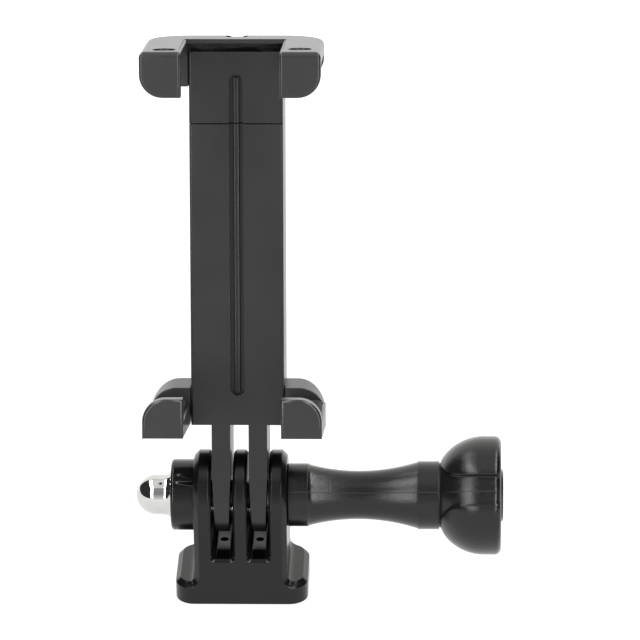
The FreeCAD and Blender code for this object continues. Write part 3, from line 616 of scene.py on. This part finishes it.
def makeKnob(material):
    k = knob
    sample = lobedRing(k["neckEnd"] + k["lobeBelly"], k["coreR"], k["lobeR"], k["gapHalf"])
    first = math.atan2(sample[0][2] / mm - screwHeight, sample[0][1] / mm)
    turns = turnsOf(len(sample), first, -1)
    rings = [roundRing(x, r, turns) for x, r in neckProfile()]
    rimStart = k["end"] - k["rimRound"]
    for i in range(k["lobeSteps"] + 1):
        x = k["neckEnd"] + (rimStart - k["neckEnd"]) * i / k["lobeSteps"]
        rings.append(lobedRing(x, bowlRadius(x, k["coreRoot"], k["coreR"], k["coreBelly"]),
                               bowlRadius(x, k["lobeRoot"], k["lobeR"], k["lobeBelly"]), gapWidth(x)))
    for i in range(1, k["rimSteps"] + 1):
        turn = math.pi / 2 * i / k["rimSteps"]
        drop = k["rimRound"] * (1 - math.cos(turn))
        rings.append(lobedRing(rimStart + k["rimRound"] * math.sin(turn), k["coreR"] - drop,
                               k["lobeR"] - drop, k["gapHalf"]))
    seat = rounded([(k["end"], k["seatStart"]), (k["end"], k["seatR"]), (headTop, k["seatR"])],
                   [k["seatRound"]])
    rings += [roundRing(x, r, turns) for x, r in seat]
    rings += [hexRing(headTop, k["headFlats"], turns), hexRing(headLow, k["headFlats"], turns),
              roundRing(headLow, k["boreR"], turns), roundRing(k["start"], k["boreR"], turns)]
    piece = newPiece("thumbKnob", ringTube("thumbKnob", rings, True), material)
    shade(piece, sharpDegrees=38)
    finishPiece(piece, "thumb_knob")
    print("knob:", len(piece.data.vertices), "points,", len(turns), "round")


# Clip: rounder corners under the lower jaw's arms, sliding panel up to the roof, in the clip's frame

lowerJaw = {"inner": 8.0, "half": 14.72, "wallBack": -5.5, "front": -25.7,
            "bottomBack": 12.9, "bottomFront": 14.5, "near": 0.03}
slidingPanel = {"above": 75.5, "raise": 0.36}        # its top edge, up to the jaw's roof


def inClip(point):
    return (clipPlace.inverted() @ point) / mm


def underArms(edge):
    j = lowerJaw
    for point in edge.verts:
        spot = inClip(point.co)
        side = abs(spot.x)
        along = min(1.0, max(0.0, (spot.y - j["wallBack"]) / (j["front"] - j["wallBack"])))
        rise = spot.z - j["bottomBack"] - (j["bottomFront"] - j["bottomBack"]) * along
        inset = min(j["half"] - side, side - j["inner"])
        if spot.y > j["wallBack"] + j["near"] or abs(rise) > j["near"] or abs(inset) > j["near"]:
            return False
    return True


def raiseTop(piece):
    up = clipPlace.to_3x3() @ Vector((0, 0, slidingPanel["raise"] * mm))
    for point in piece.data.vertices:
        if inClip(point.co).z > slidingPanel["above"]:
            point.co += up


# Cap nut: hexagon in the boss, flared neck and dome

capNut = {
    "start": -8.35, "flats": 8.0, "hexLength": 3.55,
    "bevelLength": 0.5, "bevelR": 4.01, "bevelSteps": 6,
    "neckLength": 2.25, "neckR": 3.4, "taper": 0.05, "flare": 0.5, "flarePower": 5, "neckSteps": 12,
    "domeLength": 3.6, "domePower": 2.1, "domeSteps": 24, "domeOpen": 0.6,
    "boreR": 2.53, "boreLength": 6.1,
    "around": 72,
}


def makeCapNut(material):
    n = capNut
    turns = turnsOf(n["around"])
    end = n["start"] - n["hexLength"]
    cornerR = n["flats"] / math.sqrt(3)
    rings = [roundRing(n["start"] - n["boreLength"], n["boreR"], turns),
             roundRing(n["start"], n["boreR"], turns),
             hexRing(n["start"], n["flats"], turns, cornerR)]
    for i in range(n["bevelSteps"] + 1):                             # chamfered corners
        t = i / n["bevelSteps"]
        rings.append(hexRing(end + n["bevelLength"] * (1 - t), n["flats"], turns,
                             cornerR + (n["bevelR"] - cornerR) * t))
    for i in range(n["neckSteps"] + 1):                              # neck, flared at its root
        t = 1 - i / n["neckSteps"]
        r = n["neckR"] + n["flare"] * t ** n["flarePower"] + n["taper"] * t
        rings.append(roundRing(end - n["neckLength"] * (1 - t), r, turns))
    for i in range(1, n["domeSteps"] + 1):
        t = math.sin(math.pi / 2 * i / (n["domeSteps"] + n["domeOpen"]))
        r = n["neckR"] * (1 - t ** n["domePower"]) ** (1 / n["domePower"])
        rings.append(roundRing(end - n["neckLength"] - n["domeLength"] * t, r, turns))
    piece = newPiece("capNut", ringTube("capNut", rings, False), material)
    shade(piece, sharpDegrees=30)
    finishPiece(piece, "cap_nut")


# Threads of the clamp bolt and the tripod insert

threadFlat = 0.12                                    # share of the pitch at crest and root
clampBolt = {"tip": -14.05, "headFlats": 8.0, "headEase": 0.25,
             "crest": 2.48, "depth": 0.46, "pitch": 0.8, "perPitch": 8, "threaded": 18.0,
             "point": 0.5, "around": 42}
insert = {"low": 0.15, "flange": 0.9, "flangeR": 5.3, "barrelR": 4.7, "length": 6.2, "ease": 0.2,
          "teeth": 16, "toothDepth": 0.35, "toothSlope": 1.2, "perTooth": 8, "groovePoints": 3,
          "crest": 2.65, "depth": 0.5, "pitch": 1.27, "perPitch": 10, "mouth": 0.45,
          "mouthFlare": 1.2}


def threadCut(along, turn, pitch):
    phase = (along / pitch - turn / (2 * math.pi)) % 1
    depth = (1 - abs(2 * phase - 1) - threadFlat) / (1 - 2 * threadFlat)
    return min(1.0, max(0.0, depth))                                 # 0 at the crest, 1 at the root


def makeClampBolt(material):
    b = clampBolt
    turns = turnsOf(b["around"])
    rings = []
    steps = round(b["threaded"] / b["pitch"] * b["perPitch"])
    for i in range(steps + 1):
        x = b["tip"] + b["threaded"] * i / steps
        into = x - b["tip"]
        top = b["crest"] - max(0.0, b["point"] - into)
        deep = b["depth"] * min(1.0, (b["threaded"] - into) / b["pitch"])
        rings.append([placed(x, min(top, b["crest"] - deep * threadCut(x, turn, b["pitch"])), turn)
                      for turn in turns])
    rings.append(roundRing(headLow, b["crest"], turns))
    cornerR = b["headFlats"] / math.sqrt(3)
    for x, limit in ((headLow, cornerR - b["headEase"]), (headLow + b["headEase"], cornerR),
                     (headTop - b["headEase"], cornerR), (headTop, cornerR - b["headEase"] * 2)):
        rings.append(hexRing(x, b["headFlats"], turns, limit))
    piece = newPiece("clampBolt", ringTube("clampBolt", rings, False), material)
    shade(piece, sharpDegrees=30)
    finishPiece(piece, "clamp_bolt")


def makeInsert(material):
    k = insert
    turns = turnsOf(k["teeth"] * k["perTooth"])

    def upright(z, radii):                           # ring round Z, one radius or one for each point
        if isinstance(radii, float):
            radii = [radii] * len(turns)
        return [(r * math.cos(turn) * mm, r * math.sin(turn) * mm, z * mm)
                for r, turn in zip(radii, turns)]

    top = k["low"] + k["length"]
    shoulder = k["low"] + k["flange"]
    slope = k["toothDepth"] * k["toothSlope"]
    knurl = [k["barrelR"] - (k["toothDepth"] if (i + 1) % k["perTooth"] < k["groovePoints"] else 0)
             for i in range(len(turns))]
    rings = [upright(k["low"], k["flangeR"] - k["ease"]),
             upright(k["low"] + k["ease"], k["flangeR"]),
             upright(shoulder, k["flangeR"]),
             upright(shoulder, k["barrelR"]),
             upright(shoulder + k["toothDepth"], k["barrelR"]),
             upright(shoulder + slope, knurl),
             upright(top - slope, knurl),
             upright(top - k["toothDepth"], k["barrelR"]),
             upright(top, k["barrelR"])]
    steps = round(k["length"] / k["pitch"] * k["perPitch"])
    for i in range(steps + 1):                                       # internal thread, downwards
        z = top - k["length"] * i / steps
        rim = max(0.0, k["mouth"] - min(top - z, z - k["low"]))
        rings.append(upright(z, [max(k["crest"] + rim * k["mouthFlare"], k["crest"] + k["depth"]
                                     * threadCut(z, turn, k["pitch"])) for turn in turns]))
    piece = newPiece("tripodInsert", ringTube("tripodInsert", rings, True), material)
    shade(piece, sharpDegrees=30)
    finishPiece(piece, "tripod_insert")


# Springs and pads, grown by geometry nodes in the clip's own frame

spring = {"at": 3.9, "depth": 1.2, "low": 23.9, "high": 59.7, "wireR": 0.3, "meanR": 1.5,
          "turns": 11.0, "deadTurns": 1.0, "perTurn": 24, "wireSides": 10}
pad = {"at": 11.36, "middle": -14.65, "width": 5.62, "length": 17.2, "corner": 1.2, "cornerSteps": 8,
       "lowerFace": 16.7, "upperFace": 75.8, "sole": 0.66, "rim": 0.12,
       "ribs": 12, "ribPitch": 1.25, "ribR": 0.32, "ribInset": 0.7, "ribSides": 14}


def startTree(name, sizes):
    tree = bpy.data.node_groups.new(name, "GeometryNodeTree")
    tree.interface.new_socket("Geometry", in_out="INPUT", socket_type="NodeSocketGeometry")
    sockets = {}
    for label, value in sizes.items():
        kind = "NodeSocketInt" if isinstance(value, int) else "NodeSocketFloat"
        socket = tree.interface.new_socket(label, in_out="INPUT", socket_type=kind)
        socket.default_value = value
        sockets[label] = socket.identifier
    tree.interface.new_socket("Geometry", in_out="OUTPUT", socket_type="NodeSocketGeometry")
    out = tree.nodes.new("NodeGroupOutput")
    return tree, sockets, tree.nodes.new("NodeGroupInput").outputs, out


def endTree(tree, geometry, out, material):
    realized = addNode(tree, "GeometryNodeRealizeInstances", {0: geometry})
    smooth = addNode(tree, "GeometryNodeSetShadeSmooth", {"Geometry": realized.outputs[0]})
    dress = addNode(tree, "GeometryNodeSetMaterial", {"Geometry": smooth.outputs["Geometry"],
                                                      "Material": material})
    tree.links.new(dress.outputs["Geometry"], out.inputs[0])


def swept(tree, path, radius, sides):
    section = addNode(tree, "GeometryNodeCurvePrimitiveCircle", {"Resolution": sides, "Radius": radius})
    return addNode(tree, "GeometryNodeCurveToMesh", {
        "Curve": path, "Profile Curve": section.outputs["Curve"], "Fill Caps": True}).outputs["Mesh"]


def grow(name, mesh, tree, sockets, sizes, place, material):
    piece = linked(name, mesh)
    nodes = piece.modifiers.new("grow", "NODES")
    nodes.node_group = tree
    for label, value in sizes.items():
        nodes[sockets[label]] = value
    bpy.context.view_layer.update()
    settle(piece)
    piece.data.transform(place)
    paint(piece.data, material)
    return piece


def springTree(sizes, material):
    tree, sockets, given, out = startTree("coilSpring", sizes)
    coil = addNode(tree, "GeometryNodeCurveSpiral", {
        "Resolution": given["Steps"], "Rotations": given["Turns"],
        "Start Radius": given["Mean Radius"], "End Radius": given["Mean Radius"]})
    share = tree.nodes.new("GeometryNodeSplineParameter").outputs["Factor"]
    dead = counted(tree, "DIVIDE", given["Dead Turns"], given["Turns"])
    lastDead = counted(tree, "SUBTRACT", 1.0, dead)
    wire = counted(tree, "MULTIPLY", given["Wire Radius"], 2.0)
    live = counted(tree, "SUBTRACT", given["Length"], counted(tree, "MULTIPLY", wire, 3.0))
    height = given["Wire Radius"]
    for low, high, rise in ((0.0, dead, wire), (dead, lastDead, live), (lastDead, 1.0, wire)):
        part = remapped(tree, share, (low, high), (0.0, rise))       # closed coil, open ones, closed coil
        height = counted(tree, "ADD", height, part)
    spot = addNode(tree, "ShaderNodeSeparateXYZ",
                   {0: tree.nodes.new("GeometryNodeInputPosition").outputs[0]}).outputs
    lift = addNode(tree, "GeometryNodeSetPosition", {
        "Geometry": coil.outputs["Curve"], "Position": combined(tree, spot["X"], spot["Y"], height)})
    skin = swept(tree, lift.outputs["Geometry"], given["Wire Radius"], spring["wireSides"])
    endTree(tree, skin, out, material)
    return tree, sockets


def makeSprings(material):
    s = spring
    length = s["high"] - s["low"]
    sizes = {"Turns": s["turns"], "Dead Turns": s["deadTurns"], "Mean Radius": s["meanR"] * mm,
             "Wire Radius": s["wireR"] * mm, "Length": length * mm, "Steps": s["perTurn"]}
    tree, sockets = springTree(sizes, material)
    for name, side in (("left", -1), ("right", 1)):
        foot = Vector((side * s["at"], s["depth"], s["low"])) * mm
        piece = grow("coil_" + name, bpy.data.meshes.new("coil"), tree, sockets, sizes,
                     clipPlace @ Matrix.Translation(foot), material)
        finishPiece(piece, "spring_" + name)
        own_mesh(piece)


def padSole():
    p = pad
    loops = []
    for inset, height in ((0.0, 0.0), (0.0, p["sole"] - p["rim"]), (p["rim"], p["sole"])):
        ring = []
        r = p["corner"] - inset
        for quarter, sx, sy in ((0, 1, 1), (1, -1, 1), (2, -1, -1), (3, 1, -1)):
            x = (p["width"] / 2 - p["corner"]) * sx
            y = (p["length"] / 2 - p["corner"]) * sy
            for step in range(p["cornerSteps"] + 1):
                turn = math.pi / 2 * (quarter + step / p["cornerSteps"])
                ring.append(((x + r * math.cos(turn)) * mm, (y + r * math.sin(turn)) * mm, height * mm))
        loops.append(ring)
    return ringTube("padSole", loops, False)


def padTree(sizes, material):
    tree, sockets, given, out = startTree("ribbedPad", sizes)
    line = addNode(tree, "GeometryNodeCurvePrimitiveLine", {
        "Start": combined(tree, counted(tree, "MULTIPLY", given["Rib Length"], -0.5)),
        "End": combined(tree, counted(tree, "MULTIPLY", given["Rib Length"], 0.5))})
    rib = swept(tree, line.outputs["Curve"], given["Rib Radius"], pad["ribSides"])
    gaps = counted(tree, "SUBTRACT", given["Ribs"], 1.0)
    start = counted(tree, "MULTIPLY", counted(tree, "MULTIPLY", gaps, given["Pitch"]), -0.5)
    row = addNode(tree, "GeometryNodeMeshLine", {
        "Count": given["Ribs"], "Start Location": combined(tree, 0.0, start, given["Height"]),
        "Offset": combined(tree, 0.0, given["Pitch"])})
    laid = addNode(tree, "GeometryNodeInstanceOnPoints", {"Points": row.outputs["Mesh"],
                                                          "Instance": rib})
    both = tree.nodes.new("GeometryNodeJoinGeometry")
    tree.links.new(given["Geometry"], both.inputs[0])
    tree.links.new(laid.outputs["Instances"], both.inputs[0])
    endTree(tree, both.outputs[0], out, material)
    return tree, sockets


def makePads(material):
    p = pad
    sizes = {"Ribs": p["ribs"], "Pitch": p["ribPitch"] * mm, "Rib Radius": p["ribR"] * mm,
             "Rib Length": (p["width"] - 2 * p["ribInset"]) * mm, "Height": p["sole"] * mm}
    tree, sockets = padTree(sizes, material)
    for level, face, flip in (("lower", p["lowerFace"], 0), ("upper", p["upperFace"], 180)):
        for name, side in (("left", -1), ("right", 1)):
            place = (clipPlace @ Matrix.Translation(Vector((side * p["at"], p["middle"], face)) * mm)
                     @ Matrix.Rotation(math.radians(flip), 4, "Y"))
            piece = grow(level + "Pad_" + name, padSole(), tree, sockets, sizes, place, material)
            shade(piece, sharpDegrees=35)
            finishPiece(piece, level + "_pad_" + name)


addCamera()
addStudio()
print("stage: studio ready")
plastics = {
    "base": mouldedPlastic("satinBlack", satin),
    # lit and shaded copies of the black: painted light on the clip, painted shade on the panels
    "clip": mouldedPlastic("clipBlackLit", clipLitSatin),
    "panel": mouldedPlastic("panelBlackShaded", panelShadedSatin),
    "knob": mouldedPlastic("knobBlack", gloss),
    "pad": mouldedPlastic("padRubber", rubber),
}
metals = {
    "chrome": metal("chromePlate", chrome),
    "brass": metal("turnedBrass", brass),
    "zinc": metal("zincPlate", zinc),
    "oxide": metal("blackOxide", blackOxide),
}
dressed("base_body", "baseBody", plastics["base"], ease=0.14)
dressed("front_housing", "frontHousing", plastics["panel"], ease=0.10)
dressed("rear_housing", "rearHousing", plastics["clip"], ease=0.12,
        softer=underArms, softEase=0.35)
dressed("upper_jaw", "upperJaw", plastics["clip"], ease=0.12)
raiseTop(dressed("upper_cover", "upperCover", plastics["panel"], ease=0.10))
dressed("knob_cover", "knobCover", plastics["knob"], ease=0.08)
dressed("housing_screws", "housingScrews", metals["oxide"], ease=0.05)
for side in ("left", "right"):
    dressed("guide_rod_" + side, "guideRod_" + side, metals["zinc"], ease=0.2)
print("stage: bodies dressed")
makeKnob(plastics["knob"])
makeCapNut(metals["chrome"])
makeClampBolt(metals["zinc"])
makeInsert(metals["brass"])
print("stage: screw, nut and insert made")
makeSprings(metals["oxide"])
makePads(plastics["pad"])
print("stage: springs and pads grown")
